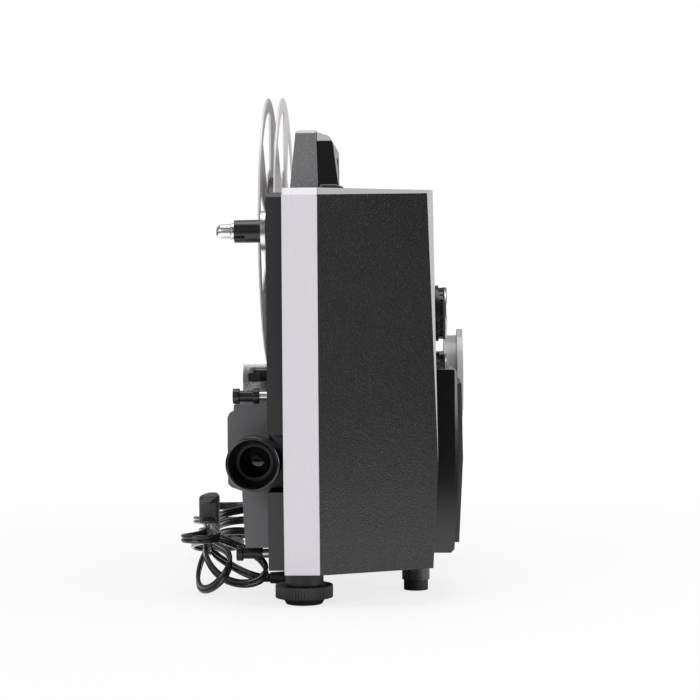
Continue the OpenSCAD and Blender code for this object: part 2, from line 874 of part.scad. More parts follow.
// Reel on the back spindle: two windowed flanges round the wound film
flange_t = 1.1;
reel_x = disc_x - 0.1;
reel_rim = 9;
window_in = film_r + 5;
window_out = reel_r - reel_rim;
windows = 5;
window_deg = 46;

module reel_flange(x) {
    difference() {
        rod_x(takeup_y, takeup_z, reel_r, x, x + flange_t);
        rod_x(takeup_y, takeup_z, spindle_r + run_fit, x - 1, x + flange_t + 1);
        for (k = [0 : windows - 1]) {
            along_x(x - 1, x + flange_t + 1)
            translate([takeup_y, takeup_z]) rotate(360 * k / windows + 18) polygon([
                for (a = [0 : 4]) window_in * [cos(window_deg * a / 4), sin(window_deg * a / 4)],
                for (a = [6 : -1 : 0]) window_out * [cos(window_deg * a / 6), sin(window_deg * a / 6)]
            ]);
        }
    }
}

module reel_inner_flange() {
    color([0.82, 0.82, 0.83]) reel_flange(reel_x - flange_t);
}

module reel_outer_flange() {
    color([0.82, 0.82, 0.83]) reel_flange(reel_x - 2 * flange_t - reel_gap);
}

module wound_film() {
    film_x = reel_x - flange_t - reel_gap;
    color([0.13, 0.11, 0.1])
    difference() {
        rod_x(takeup_y, takeup_z, film_r, film_x, film_x + reel_gap);
        rod_x(takeup_y, takeup_z, spindle_r + run_fit, film_x - 1, film_x + reel_gap + 1);
    }
}

// Film rollers above and below the housing, each on a fixed pin
roller_r = 4.3;
roller_l = 14.6;
roller_pin_r = 1.4;
roller_x = lens_x - 13;
roller_yz = [
    [housing_y0 + 2, housing_top + roller_r + 0.5],
    [housing_y0 + 14, housing_base - roller_r - 0.5]
];

module roller_pins() {
    color([0.75, 0.75, 0.77]) {
        for (p = roller_yz) {
            rod_x(p[0], p[1], roller_pin_r, roller_x + 0.6, film_face + cover_wall);
            rod_x(p[0], p[1], roller_pin_r + 1.2, roller_x + roller_l + 0.2, film_face);
        }
        rod_x(lever_y, lever_z, lever_pin_r, lever_x0 - 1, film_face + cover_wall);
    }
}

module roller(p) {
    color([0.08, 0.08, 0.085])
    difference() {
        union() {
            rod_x(p[0], p[1], roller_r - 1.2, roller_x, roller_x + roller_l);
            rod_x(p[0], p[1], roller_r, roller_x, roller_x + 3.6);
            rod_x(p[0], p[1], roller_r, roller_x + roller_l - 3.2, roller_x + roller_l);
        }
        rod_x(p[0], p[1], roller_pin_r + run_fit, roller_x - 1, roller_x + roller_l + 1);
    }
}

module upper_roller() {
    roller(roller_yz[0]);
}

module lower_roller() {
    roller(roller_yz[1]);
}

// Threading lever above the roller, and the bright film guide behind it
lever_y = housing_y0 + 24;
lever_z = housing_top + 16;
lever_pin_r = 1.6;
lever_hub_r = 4;
lever_x0 = lens_x - 5;
lever_x1 = film_face - 0.4;

module threading_lever() {
    color([0.07, 0.07, 0.075])
    difference() {
        union() {
            rod_x(lever_y, lever_z, lever_hub_r, lever_x0, lever_x1);
            along_x(lever_x0, lever_x0 + 2.4) polygon([
                [lever_y, lever_z + lever_hub_r], [lever_y - 15, lever_z + 1],
                [lever_y - 16, lever_z - 2], [lever_y, lever_z - lever_hub_r]
            ]);
            box([lever_x0, lever_y - 17, lever_z - 3.4], [lever_x0 + 7, lever_y - 14, lever_z + 1.6]);
        }
        rod_x(lever_y, lever_z, lever_pin_r + run_fit, lever_x0 - 1, lever_x1 + 1);
    }
}

guide_t = 1;
module film_guide() {
    guide_y = lever_y + 12;
    guide_z = housing_top + 0.1;
    color([0.84, 0.84, 0.86])
    along_x(lens_x - 11, film_face) polygon([
        [guide_y, guide_z], [guide_y + 14, guide_z], [guide_y + 14, guide_z + guide_t],
        [guide_y + guide_t, guide_z + guide_t], [guide_y + guide_t + 3, guide_z + 14],
        [guide_y + 10, guide_z + 22], [guide_y + 9, guide_z + 22.6], [guide_y + 2.6, guide_z + 14.6]
    ]);
}

// Drive: a motor with a fan turns the main shaft by a belt, and a second belt turns the take-up spindle
main_end = mech_out + 3;
cam_r = 5.4;
cam_out = 1.2;

module main_shaft() {
    color([0.74, 0.74, 0.76]) {
        rod_x(main_y, axis_z, main_shaft_r, plate_x - 4, main_end);
        rod_x(main_y + cam_out, axis_z, cam_r, plate_x - 3.6, plate_x - 0.4);
    }
}

shutter_r = 45;
shutter_x = plate_in + 5;
shutter_t = 1;
module shutter() {
    blade_deg = 75;
    color([0.09, 0.09, 0.09])
    difference() {
        union() {
            rod_x(main_y, axis_z, main_shaft_r + 5, shutter_x - 2, shutter_x + 2);
            intersection() {
                rod_x(main_y, axis_z, shutter_r, shutter_x, shutter_x + shutter_t);
                along_x(shutter_x - 1, shutter_x + shutter_t + 1) translate([main_y, axis_z])
                for (k = [0 : 2]) {
                    rotate(120 * k) polygon([
                        [0, 0], 2 * shutter_r * [1, 0],
                        2 * shutter_r * [cos(blade_deg), sin(blade_deg)]
                    ]);
                }
            }
        }
        rod_x(main_y, axis_z, main_shaft_r, shutter_x - 3, shutter_x + 3);
    }
}

// A flat-belt pulley with two low lips
module pulley(y, z, r, bore, x) {
    lip = 0.5;
    difference() {
        union() {
            rod_x(y, z, r, x, x + pulley_w);
            rod_x(y, z, r + lip, x, x + 0.3);
            rod_x(y, z, r + lip, x + pulley_w - 0.3, x + pulley_w);
        }
        rod_x(y, z, bore, x - 1, x + pulley_w + 1);
    }
}

module main_pulley() {
    color([0.5, 0.5, 0.52]) {
        pulley(main_y, axis_z, main_small_r, main_shaft_r, takeup_belt_x);
        pulley(main_y, axis_z, main_big_r, main_shaft_r, drive_belt_x);
        difference() {
            rod_x(main_y, axis_z, main_small_r - 2, takeup_belt_x + pulley_w - 0.1, drive_belt_x + 0.1);
            rod_x(main_y, axis_z, main_shaft_r, takeup_belt_x, drive_belt_x + 1);
        }
    }
}

module takeup_pulley() {
    color([0.5, 0.5, 0.52])
    pulley(takeup_y, takeup_z, takeup_pulley_r, shaft_r, takeup_belt_x);
}

// An open belt round two pulleys
module belt(a, ra, b, rb, x) {
    x0 = x + (pulley_w - belt_w) / 2;
    seat = 0.1;
    along_x(x0, x0 + belt_w)
    difference() {
        hull() {
            translate(a) circle(ra + seat + belt_t, $fn = 40);
            translate(b) circle(rb + seat + belt_t, $fn = 40);
        }
        hull() {
            translate(a) circle(ra + seat, $fn = 40);
            translate(b) circle(rb + seat, $fn = 40);
        }
    }
}

module drive_belt() {
    color([0.05, 0.05, 0.05])
    belt([main_y, axis_z], main_big_r, [motor_y, motor_z], motor_pulley_r, drive_belt_x);
}

module takeup_belt() {
    color([0.05, 0.05, 0.05])
    belt([main_y, axis_z], main_small_r, [takeup_y, takeup_z], takeup_pulley_r, takeup_belt_x);
}

module motor() {
    boss_l = 4;
    color([0.58, 0.58, 0.6])
    difference() {
        union() {
            rod_x(motor_y, motor_z, motor_r, mech_out, mech_out + motor_l);
            rod_x(motor_y, motor_z, rotor_r + 4, mech_out + motor_l - 0.1, mech_out + motor_l + boss_l);
        }
        rod_x(motor_y, motor_z, rotor_r + run_fit, mech_out - 1, mech_out + motor_l + boss_l + 1);
    }
}

fan_x = mech_out + motor_l + 4.4;
fan_w = 7;
module motor_rotor() {
    color([0.7, 0.7, 0.72]) {
        rod_x(motor_y, motor_z, rotor_r, drive_belt_x - 0.4, fan_x + fan_w);
        pulley(motor_y, motor_z, motor_pulley_r, rotor_r - 0.1, drive_belt_x);
    }
}

fan_r = 23;
fan_blades = 7;
module fan() {
    color([0.75, 0.74, 0.7])
    difference() {
        union() {
            rod_x(motor_y, motor_z, rotor_r + 4, fan_x, fan_x + fan_w);
            for (k = [0 : fan_blades - 1]) {
                translate([fan_x, motor_y, motor_z]) rotate([360 * k / fan_blades, 0, 0])
                    translate([fan_w / 2, 0, rotor_r + 3]) rotate([0, 0, 30])
                    translate([-0.7, -4, 0]) cube([1.4, 8, fan_r - rotor_r - 4]);
            }
        }
        rod_x(motor_y, motor_z, rotor_r, fan_x - 1, fan_x + fan_w + 1);
    }
}

// Lamp with its dish, held by a socket on a bent bracket
lamp_x = mech_out + 10;
lamp_dish_r = 25;
lamp_dish_l = 20;
lamp_neck_l = 6;
lamp_neck_r = 6;
socket_x = lamp_x + lamp_dish_l;
module lamp() {
    wall = 1.4;
    color([0.86, 0.87, 0.9])
    translate([lamp_x, beam_y, axis_z]) rotate([0, 90, 0])
    rotate_extrude() polygon([
        [0, lamp_dish_l * 0.36], [2.6, lamp_dish_l * 0.4], [2.8, lamp_dish_l * 0.74],
        for (k = [2 : 6]) [lamp_dish_r * k / 6 - wall, lamp_dish_l * (0.86 - 0.86 * pow(k / 6, 2))],
        [lamp_dish_r, 0],
        for (k = [5 : -1 : 3]) [lamp_dish_r * k / 6, lamp_dish_l * (1 - pow(k / 6, 2))],
        [lamp_neck_r, lamp_dish_l * 0.9], [lamp_neck_r, lamp_dish_l + lamp_neck_l],
        [0, lamp_dish_l + lamp_neck_l]
    ]);
}

socket_half = 9;
bracket_t = 2;
bracket_z = axis_z - lamp_dish_r - 6;
module lamp_socket() {
    color([0.88, 0.86, 0.8])
    difference() {
        box([socket_x + 1, beam_y - socket_half, bracket_z + bracket_t],
            [socket_x + 1 + 10, beam_y + socket_half, axis_z + socket_half]);
        rod_x(beam_y, axis_z, lamp_neck_r + run_fit, socket_x, socket_x + lamp_neck_l);
    }
}

module lamp_bracket() {
    color([0.7, 0.7, 0.68])
    along_y(beam_y - socket_half - 1, beam_y + socket_half + 1) polygon([
        [mech_out, bracket_z - 14], [mech_out + bracket_t, bracket_z - 14],
        [mech_out + bracket_t, bracket_z],
        [socket_x + 12, bracket_z], [socket_x + 12, bracket_z + bracket_t], [mech_out, bracket_z + bracket_t]
    ]);
}

// Transformer: a laminated core with its coil, on the mechanism plate
module transformer() {
    core_l = 50;
    core_h = 46;
    core_t = 30;
    coil = 6;
    y = mech_y1 - core_l - 6;
    z = mech_z1 - core_h - 4;
    color([0.42, 0.38, 0.32]) {
        translate([mech_out, y, z]) cube([core_t, core_l, core_h]);
        translate([mech_out + coil, y + 2 * coil, z + 8]) cube([core_t, core_l - 4 * coil, core_h - 16]);
    }
}

// Controls on the right side: places, bushes, knobs and the rotary switch
knob_run = 128;
dial_run = 183;
speed_rise = 80.5;
framing_rise = 45;
dial_rise = 42;
speed_yz = [y_front + knob_run, axis_z + speed_rise];
framing_yz = [y_front + knob_run, axis_z + framing_rise];
dial_yz = [y_front + dial_run, axis_z + dial_rise];
control_yz = [speed_yz, framing_yz, dial_yz];
control_bush_r = control_shaft_r + 3;
control_in = 12;

// The least X at which a control of radius r clears the leaning side
function clear_x(c, r) = side_x(max(c[1] - r, axis_z)) + 0.4;

module knob_bushes() {
    color([0.62, 0.62, 0.64])
    for (c = control_yz) {
        difference() {
            rod_x(c[0], c[1], control_bush_r, side_x(c[1]) - control_in + 3, side_x(c[1]));
            rod_x(c[0], c[1], control_shaft_r + run_fit, side_x(c[1]) - control_in - 1, side_x(c[1]) + 2);
        }
    }
}

// A knob with a skirt, a ribbed grip and its shaft
module knob(c, r, h, ribs) {
    x = clear_x(c, r);
    difference() {
        union() {
            rod_x(c[0], c[1], r, x, x + 2);
            rod_x(c[0], c[1], r - 1.4, x + 1.9, x + h);
            rod_x(c[0], c[1], control_shaft_r, side_x(c[1]) - control_in, x + 1);
        }
        for (k = [0 : ribs - 1]) {
            translate([x + 2.6, c[0], c[1]]) rotate([360 * k / ribs, 0, 0])
                translate([0, -0.6, r - 2]) cube([h, 1.2, 2]);
        }
        box([x + h - 0.6, c[0] - 0.7, c[1] + r * 0.3], [x + h + 1, c[0] + 0.7, c[1] + r]);
    }
}

module speed_knob() {
    color([0.07, 0.07, 0.075]) knob(speed_yz, speed_knob_r, 6.8, 24);
}

module framing_knob() {
    color([0.07, 0.07, 0.075]) knob(framing_yz, framing_knob_r, 6.4, 20);
}

dial_h = 17;
dial_rim_t = 3.6;
dial_shaft_end = mech_out + 28;
module function_dial() {
    x = clear_x(dial_yz, dial_r / 2);
    color([0.8, 0.8, 0.8])
    difference() {
        union() {
            rod_x(dial_yz[0], dial_yz[1], dial_r / 2, x, x + 5);
            rod_x(dial_yz[0], dial_yz[1], dial_r - 4, x + 4.9, x + dial_h - dial_rim_t);
            rod_x(dial_yz[0], dial_yz[1], dial_r, x + dial_h - dial_rim_t - 0.1, x + dial_h);
            rod_x(dial_yz[0], dial_yz[1], control_shaft_r, dial_shaft_end - 8, x + 1);
        }
        for (s = [-1, 1]) {
            box([x + dial_h - 2, dial_yz[0] + s * 10 - 6, dial_yz[1] - dial_r],
                [x + dial_h + 1, dial_yz[0] + s * 10 + 6, dial_yz[1] + dial_r]);
        }
    }
}

module switch_block() {
    half = 14;
    color([0.3, 0.24, 0.16])
    difference() {
        box([mech_out, dial_yz[0] - half, dial_yz[1] - half],
            [dial_shaft_end, dial_yz[0] + half, dial_yz[1] + half]);
        rod_x(dial_yz[0], dial_yz[1], control_shaft_r + run_fit, dial_shaft_end - 9, dial_shaft_end + 1);
    }
}

// Mains lead. The route's points are in millimetres: gland, over the floor, hank, plug.
gland_tip = [-24, 62, 5];
lead_points = [
    [-24, 62, 5], [-30, 62, 5.2], [-37, 63, 7], [-44, 66, 9.8], [-51, 71, 13],
    [-56.5, 75.6, 15.9], [-59.6, 80.6, 17.9], [-60.2, 87, 18.3]
];
hank_mid = [-62, 95, 27];
hank_side = 1.8;
hank_rise = 5.8;
hank_passes = 8;
reach_y = [97, 77, 91, 72, 85, 73.5, 79];
open_x = [40, 19, 40, 23, 40, 24, 40];
open_z = [0, 19.5, 0, 11.5, 0, -3, 0];
lean_x = [-9, 13.5, 0, 35, -4, 1.5, 5];
lift_z = [-13, -11, -9.5, -17.5, -5, 0, -0.5];
tail_points = [
    [-63.8, 87, 36.6], [-63, 80.6, 39.8], [-61, 75.6, 43.4], [-58.4, 71, 46.6],
    [-57, 66, 48], [-57, 62, 48], [-57, 58, 48]
];
loop_rings = 24;
tail_rings = 3;
lead_rings = 3;

function unit(v) = v / norm(v);
function slot_x(k) = (k % 2 == 0 ? 1 : -1);
function slot_z(k) = hank_rise * (floor(k / 2) - (hank_passes / 2 - 1) / 2);
function fade(t) = pow(cos(90 * t), 2);
function bump(t) = pow(sin(180 * t), 2);
function ease(t) = t * t * (3 - 2 * t);
function lobe_turn(k, t) = slot_x(k) * (fade(t) - fade(1 - t));

// A point of lobe k: out along one side of the waist, round a wide end and back along the other side
function lobe_point(k, t) = hank_mid + [
    lobe_turn(k, t) * (hank_side + open_x[k] * bump(t)) + lean_x[k] * bump(t),
    slot_x(k) * reach_y[k] * pow(sin(180 * t), 0.7),
    slot_z(k) + (slot_z(k + 1) - slot_z(k)) * ease(t) + (lift_z[k] + lobe_turn(k, t) * open_z[k]) * bump(t)
];

function catmull(a, b, c, d, s) = 0.5 * (2 * b + (c - a) * s
    + (2 * a - 5 * b + 4 * c - d) * s * s + (3 * b - a - 3 * c + d) * s * s * s);
function spline(p, n) = [
    for (i = [0 : len(p) - 2]) for (j = [0 : n - 1])
        catmull(p[max(i - 1, 0)], p[i], p[i + 1], p[min(i + 2, len(p) - 1)], j / n),
    p[len(p) - 1]
];

last_pass = hank_passes - 1;
hank_head = lead_points[len(lead_points) - 1];
function hank_path(n, m) = concat(
    [hank_head],
    [for (k = [0 : last_pass - 1]) for (j = [0 : n - 1]) lobe_point(k, j / n)],
    spline(concat([lobe_point(last_pass - 1, 1)], tail_points), m)
);

// A flat tube swept along a path: each ring lies square to the path, its width as near to w as can be
function path_dir(p, i) = unit(p[min(i + 1, len(p) - 1)] - p[max(i - 1, 0)]);
function across(p, w, i) = let (t = path_dir(p, i)) unit(w - (w * t) * t);
function ring_points(p, w, i, sides) = let (a = across(p, w, i), b = cross(path_dir(p, i), a)) [
    for (s = [0 : sides - 1])
        p[i] + a * lead_w / 2 * cos(360 * s / sides) + b * lead_t / 2 * sin(360 * s / sides)
];
module flat_tube(p, w, sides) {
    last = len(p) - 1;
    points = [for (i = [0 : last]) each ring_points(p, w, i, sides)];
    faces = concat(
        [for (s = [1 : sides - 2]) [0, s, s + 1]],
        [for (i = [0 : last - 1]) for (s = [0 : sides - 1]) let (n = (s + 1) % sides)
            each [[i * sides + s, (i + 1) * sides + s, (i + 1) * sides + n],
                  [i * sides + s, (i + 1) * sides + n, i * sides + n]]],
        [for (s = [1 : sides - 2]) [last * sides, last * sides + s + 1, last * sides + s]]
    );
    polyhedron(points = points, faces = faces, convexity = 10);
}

// Half the lead's section along direction d, and the least gap of the hank to itself
up = [0, 0, 1];
function half_section(p, i, d) = let (a = across(p, up, i), b = cross(path_dir(p, i), a))
    norm([lead_w / 2 * (a * d), lead_t / 2 * (b * d)]);
module print_hank_gap() {
    p = hank_path(48, 4);
    near = 12;
    gaps = [
        for (i = [0 : len(p) - 1]) for (j = [i + near : len(p) - 1])
            let (v = p[j] - p[i], d = norm(v))
            if (d < 9 && d > 0) d - half_section(p, i, v / d) - half_section(p, j, v / d)
    ];
    echo(hank_least_gap = min(gaps), hank_low = min([for (q = p) q[2]]) - lead_w / 2);
}

gland_l = 22;
module cord_gland() {
    gland_x = gland_tip[0] + gland_l;
    color([0.06, 0.06, 0.06]) {
        translate(gland_tip) rotate([0, 90, 0]) cylinder(r1 = 3.3, r2 = 4.6, h = gland_l);
        box([gland_x - 0.1, gland_tip[1] - 7, gland_tip[2] - 4.4], [gland_x + 9, gland_tip[1] + 7, z_base]);
    }
}

module cord_lead() {
    color([0.05, 0.05, 0.05]) flat_tube(spline(lead_points, lead_rings), up, 8);
}

module cord_hank() {
    print_hank_gap();
    color([0.05, 0.05, 0.05]) flat_tube(hank_path(loop_rings, tail_rings), up, 6);
}

// A band round the hank's waist
tie_w = 7;
tie_t = 1.1;
module tie_outline(t) {
    half_x = hank_side + lead_t / 2 + air + t;
    half_z = hank_rise * (hank_passes / 2 - 1) / 2 + lead_w / 2 + air + t;
    cut = 1 + t;
    polygon([for (q = [[1, 1], [-1, 1], [-1, -1], [1, -1]])
        let (corner = [q[0] * half_x, q[1] * half_z], flip = q[0] * q[1])
        each (flip > 0
            ? [corner - [0, q[1] * cut], corner - [q[0] * cut, 0]]
            : [corner - [q[0] * cut, 0], corner - [0, q[1] * cut]])]);
}
module cord_tie() {
    color([0.75, 0.75, 0.72])
    translate([hank_mid[0], 0, hank_mid[2]])
    difference() {
        along_y(hank_mid[1] - tie_w / 2, hank_mid[1] + tie_w / 2) tie_outline(tie_t);
        along_y(hank_mid[1] - tie_w, hank_mid[1] + tie_w) tie_outline(0);
    }
}

// Two-pin plug standing on its edge on the hank, its pins to the front
plug_l = 22;
plug_h = 16;
plug_t = 11;
pin_l = 13;
pin_gap = 11;
module plug() {
    end = tail_points[len(tail_points) - 1];
    nose = end[1] - plug_l;
    color([0.16, 0.16, 0.165])
    along_z(end[2] - plug_h / 2, end[2] + plug_h / 2) polygon([
        [end[0] - plug_t / 2, nose], [end[0] + plug_t / 2, nose], [end[0] + plug_t / 2, nose + 9],
        [end[0] + 3, end[1]], [end[0] - 3, end[1]], [end[0] - plug_t / 2, nose + 9]
    ]);
    color([0.75, 0.6, 0.3])
    for (s = [-1, 1]) {
        box([end[0] - 3, nose - pin_l, end[2] + s * pin_gap / 2 - 0.75],
            [end[0] + 3, nose + 0.1, end[2] + s * pin_gap / 2 + 0.75]);
    }
}

trim_band();
chassis_plate();
film_side_cover();
right_cover();
lamp_house_cover();
lamp_door();
mechanism_plate();
cover_screws();
handle_plinth();
handle_core();
handle_grip();
rubber_feet();
foot_bush();
foot_wheel();
foot_stem();
foot_pad();
lens_housing();
lens_barrel();
lens_hood();
lens_elements();
gate_plate();
pressure_plate();
pressure_spring();
claw();
mirror();
supply_shaft();
supply_sleeve();
takeup_shaft();
takeup_sleeve();
takeup_pulley();
reel_inner_flange();
reel_outer_flange();
wound_film();
roller_pins();
upper_roller();
lower_roller();
threading_lever();
film_guide();
main_shaft();
shutter();
main_pulley();
drive_belt();
takeup_belt();
motor();
motor_rotor();
fan();
lamp();
lamp_socket();
lamp_bracket();
transformer();
switch_block();
knob_bushes();
speed_knob();
framing_knob();
function_dial();
cord_gland();
cord_lead();
cord_hank();
cord_tie();
plug();
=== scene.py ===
import math

import bpy
import numpy as np
from mathutils import Matrix, Vector


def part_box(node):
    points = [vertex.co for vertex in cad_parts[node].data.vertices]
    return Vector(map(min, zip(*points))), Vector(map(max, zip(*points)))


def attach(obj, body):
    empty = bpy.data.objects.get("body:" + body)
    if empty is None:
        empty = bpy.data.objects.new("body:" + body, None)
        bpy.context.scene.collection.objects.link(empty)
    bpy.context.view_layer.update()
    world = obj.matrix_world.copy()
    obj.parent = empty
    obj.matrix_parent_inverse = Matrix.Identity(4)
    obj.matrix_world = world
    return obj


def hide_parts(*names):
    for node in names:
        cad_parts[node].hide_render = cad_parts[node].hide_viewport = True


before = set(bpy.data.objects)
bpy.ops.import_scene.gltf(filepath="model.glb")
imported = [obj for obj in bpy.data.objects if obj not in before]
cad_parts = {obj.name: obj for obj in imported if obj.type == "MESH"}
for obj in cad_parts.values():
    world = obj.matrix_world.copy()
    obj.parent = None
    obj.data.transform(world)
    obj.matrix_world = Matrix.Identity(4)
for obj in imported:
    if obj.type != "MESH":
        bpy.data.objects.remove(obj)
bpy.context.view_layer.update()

# Camera. A long lens about a metre in front of the crease, at the height of the upper body,
# turned a little to the left and down, and tipped by half a degree as in the photograph.
camera_data = bpy.data.cameras.new("camera")
camera_data.sensor_width = 36
camera_data.lens = 96.8
camera = bpy.data.objects.new("camera", camera_data)
camera_at = (0.0678, -1.038, 0.1678)
turn_left, look_down, tip = np.radians([2.28, 1.52, -0.48])
camera.matrix_world = (
    Matrix.Translation(camera_at)
    @ Matrix.Rotation(turn_left, 4, "Z")
    @ Matrix.Rotation(math.pi / 2 - look_down, 4, "X")
    @ Matrix.Rotation(tip, 4, "Z")
)
bpy.context.scene.collection.objects.link(camera)
bpy.context.scene.camera = camera


# Studio. A white sweep under soft boxes: the camera sees floor and room plain white, the floor
# keeps a faint shadow, and reflections see a dim room over a floor painted as a glow round the
# body, with a painted shadow under it.
class Value:
    """A shader socket. Python's operators on it add Math nodes."""

    def __init__(self, finish, socket):
        self.finish = finish
        self.socket = socket

    def math(self, operation, *numbers):
        return self.finish.node("Math", {"operation": operation}, dict(enumerate(numbers)))

    def __add__(self, other):
        return self.math("ADD", self, other)

    def __radd__(self, other):
        return self.math("ADD", other, self)

    def __sub__(self, other):
        return self.math("SUBTRACT", self, other)

    def __rsub__(self, other):
        return self.math("SUBTRACT", other, self)

    def __mul__(self, other):
        return self.math("MULTIPLY", self, other)

    def __rmul__(self, other):
        return self.math("MULTIPLY", other, self)

    def __lt__(self, other):
        return self.math("LESS_THAN", self, other)

    def __gt__(self, other):
        return self.math("GREATER_THAN", self, other)

    def __abs__(self):
        return self.math("ABSOLUTE", self)

    def larger(self, other):
        """The larger of two values."""
        return self.math("MAXIMUM", self, other)

    def ramp(self, slope, start):
        """Slope times the value plus start, kept between 0 and 1."""
        clamped = {"operation": "MULTIPLY_ADD", "use_clamp": True}
        return self.finish.node("Math", clamped, {0: self, 1: slope, 2: start})

    def part(self, axis):
        """The X, Y or Z of a vector."""
        return self.finish.node("SeparateXYZ", {}, {"Vector": self}, axis)


class Finish:
    """A node tree, of a material or of the world, and the one method that adds a node to it."""

    def __init__(self, name, world=None):
        self.owner = world or bpy.data.materials.new(name)
        self.owner.use_nodes = True
        self.tree = self.owner.node_tree
        self.tree.nodes.clear()

    def node(self, kind, settings, sockets, out=0):
        """A node of that kind: its settings first, then its sockets' values or links."""
        made = self.tree.nodes.new("ShaderNode" + kind)
        for name, value in settings.items():
            setattr(made, name, value)
        for name, value in sockets.items():
            if isinstance(value, Value):
                self.tree.links.new(value.socket, made.inputs[name])
            else:
                made.inputs[name].default_value = value
        return Value(self, made.outputs[out]) if made.outputs else made

    def place(self, stretch=(1, 1, 1), shift=(0, 0, 0)):
        """Object coordinates, stretched and then moved by a Mapping node."""
        where = self.node("TexCoord", {}, {}, "Object")
        return self.node("Mapping", {}, {"Vector": where, "Scale": stretch, "Location": shift})

    def noise(self, scale, detail=3, stretch=(1, 1, 1), out=0):
        """Noise from 0 to 1 whose grains are about one metre over scale."""
        sockets = {"Vector": self.place(stretch), "Scale": scale, "Detail": detail}
        return self.node("TexNoise", {}, sockets, out)

    def shade(self, dark, light, factor):
        """A colour between two others, each three numbers or a colour socket."""
        a_in, b_in, colour_out = 6, 7, 2
        a, b = (c if isinstance(c, Value) else (*c, 1) for c in (dark, light))
        sockets = {"Factor": factor, a_in: a, b_in: b}
        return self.node("Mix", {"data_type": "RGBA"}, sockets, colour_out)

    def bump(self, height, depth):
        """A normal bent by a height from 0 to 1 that stands for depth metres."""
        return self.node("Bump", {}, {"Height": height, "Distance": depth})

    def surface(self, **sockets):
        """The Principled shader as the material's surface; underscores stand for spaces."""
        named = {name.replace("_", " "): value for name, value in sockets.items()}
        shader = self.node("BsdfPrincipled", {}, named)
        self.node("OutputMaterial", {}, {"Surface": shader})
        return self.owner


def rays(finish):
    """The share of camera rays, and the share of glossy or transmission rays."""
    seen, glossy, passed = (finish.node("LightPath", {}, {}, f"Is {kind} Ray")
                            for kind in ("Camera", "Glossy", "Transmission"))
    return seen, glossy.larger(passed)


white = 1.0
room_fill, room_dim, wall_glow = 0.35, 0.04, 0.35
room = bpy.data.worlds.new("room")
bpy.context.scene.world = room
room_air = Finish("room", room)
seen, mirrored = rays(room_air)
towards = room_air.node("TexCoord", {}, {}, "Generated")
wall_light = towards.part("Y").ramp(slope=1.2, start=0.85)
in_mirrors = wall_glow * wall_light + (room_dim - room_fill)
room_level = room_fill + (white - room_fill) * seen + in_mirrors * mirrored
room_light = room_air.node("Background", {}, {"Color": (1, 1, 1, 1), "Strength": room_level})
room_air.node("OutputWorld", {}, {"Surface": room_light})

floor_half = 4.0
floor_dim, painted_floor_glow = 0.05, 1.5
body_x, body_half_x = 0.02, 0.05
body_y, body_half_y = 0.11, 0.13
floor_mesh = bpy.data.meshes.new("floor")
floor_corners = [(-floor_half, -floor_half, 0), (floor_half, -floor_half, 0),
                 (floor_half, floor_half, 0), (-floor_half, floor_half, 0)]
floor_mesh.from_pydata(floor_corners, [], [(0, 1, 2, 3)])
floor = bpy.data.objects.new("floor", floor_mesh)
bpy.context.scene.collection.objects.link(floor)
sweep = Finish("white_sweep")
seen, mirrored = rays(sweep)
here = sweep.place()
away = sweep.node("VectorMath", {"operation": "LENGTH"}, {0: here}, "Value")
plain_white = away.ramp(slope=0.3, start=0.78)
# In reflections the floor is a painted glow, brightest near the body and fading with distance.
near = away.ramp(slope=-3.2, start=2.1)
beyond_x = abs(here.part("X") - body_x) - body_half_x
beyond_y = abs(here.part("Y") - body_y) - body_half_y
# Painted shadow: the floor's glow in reflections is cut to nothing over the body's footprint.
outside_painted_shadow = beyond_x.larger(beyond_y).ramp(slope=20.0, start=0.1)
floor_level = white + (painted_floor_glow * near * outside_painted_shadow + (floor_dim - white)) * mirrored
paper = sweep.node("BsdfDiffuse", {}, {"Color": (0.9, 0.9, 0.9, 1)})
lit_paper = sweep.node("Emission", {}, {"Color": (1, 1, 1, 1), "Strength": floor_level})
lit_share = plain_white * seen + mirrored
sweep_mix = sweep.node("MixShader", {}, {0: lit_share, 1: paper, 2: lit_paper})
sweep.node("OutputMaterial", {}, {"Surface": sweep_mix})
floor_mesh.materials.append(sweep.owner)


def soft_box(name, at, aim, size, radiance):
    """A square soft box at one point, turned to another; its watts follow from its radiance
    and size."""
    data = bpy.data.lights.new(name, "AREA")
    data.size = size
    data.energy = radiance * math.pi * size**2
    box = bpy.data.objects.new(name, data)
    box.location = at
    box.rotation_euler = Vector(np.subtract(aim, at)).to_track_quat("-Z", "Y").to_euler()
    bpy.context.scene.collection.objects.link(box)


middle = (0, 0.1, 0.12)
soft_box("left_box", at=(-1.0, -1.5, 0.8), aim=middle, size=0.9, radiance=5.0)
soft_box("right_box", at=(1.5, -0.35, 0.4), aim=middle, size=1.1, radiance=4.5)
soft_box("top_box", at=(0.1, 0.05, 1.6), aim=middle, size=1.0, radiance=3.6)
bpy.context.scene.view_settings.view_transform = "Standard"

# Mains lead. A flat twin lead, two round conductors side by side in one black jacket, from the
# gland under the chassis over the floor into a banded hank, and up to a two-pin plug on top.
mm = 0.001
lead_w, lead_t = 0.005, 0.0026
lead_points = mm * np.array([
    (-24, 62, 5), (-30, 62, 5.2), (-37, 63, 7), (-44, 66, 9.8), (-51, 71, 13),
    (-56.5, 75.6, 15.9), (-59.6, 80.6, 17.9), (-60.2, 87, 18.3)])
tail_points = mm * np.array([
    (-63.8, 87, 36.6), (-63, 80.6, 39.8), (-61, 75.6, 43.4), (-58.4, 71, 46.6),
    (-57, 66, 48), (-57, 62, 48), (-57, 58, 48)])
hank_mid = np.array((-0.062, 0.095, 0.027))
hank_side, hank_rise, hank_passes = 0.0018, 0.0058, 8
reach_y = mm * np.array((97, 77, 91, 72, 85, 73.5, 79))[:, None]
open_x = mm * np.array((40, 19, 40, 23, 40, 24, 40))[:, None]
